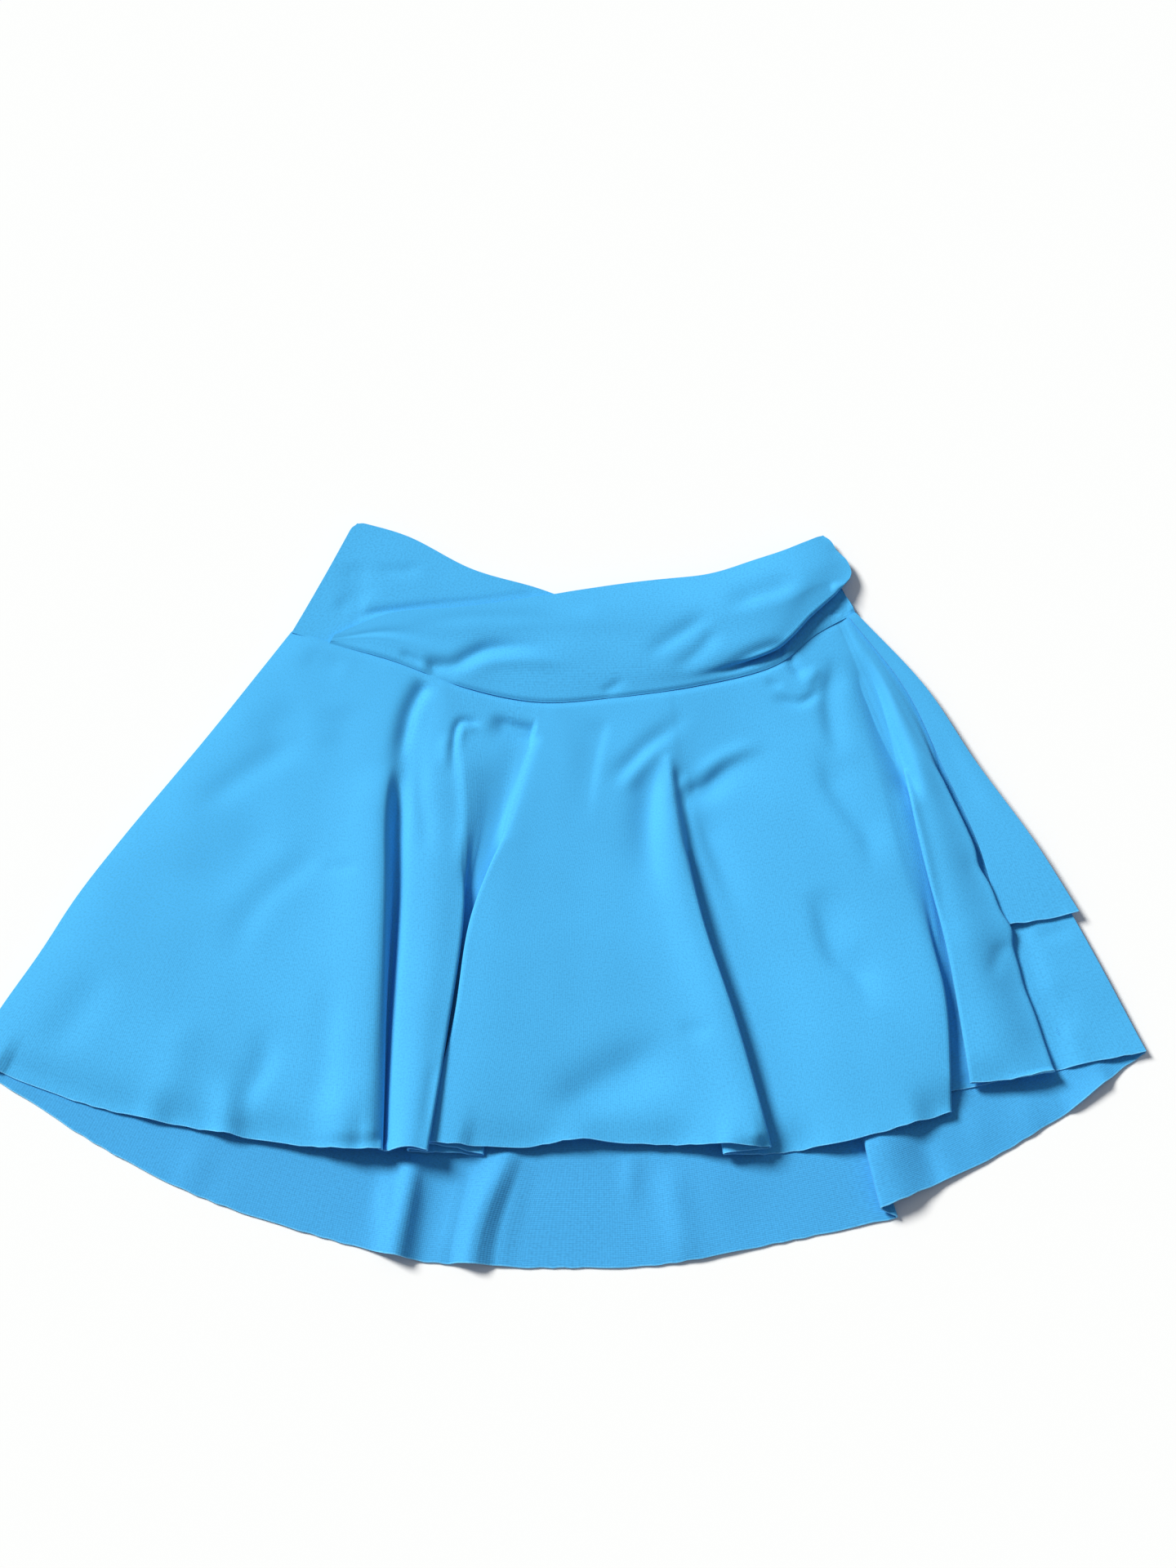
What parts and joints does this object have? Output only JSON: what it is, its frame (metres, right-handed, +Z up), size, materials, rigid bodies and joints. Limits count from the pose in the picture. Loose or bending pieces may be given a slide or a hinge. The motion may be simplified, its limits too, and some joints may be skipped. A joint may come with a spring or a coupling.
{
  "type": "flared skirt",
  "caption": "Sky-blue flared mini skirt with a wide crossover yoke, laid flat, its front folded into flutes over the longer back.",
  "frame": {"origin": "centre of the overall box, on the surface the skirt lies on", "axes": "+X along the hem towards the skirt's right side as laid, +Y from the hem up to the waist, +Z up from the surface"},
  "size_m": [0.7061, 0.4778, 0.0182],
  "materials": {
    "knit": "matte smooth dense knit, sky blue"
  },
  "bodies": {
    "root": {"skirt_back": "knit", "skirt_front": "knit", "side_short_layer": "knit", "yoke_back": "knit", "yoke_front_under": "knit", "yoke_front_over": "knit"}
  },
  "joints": []
}
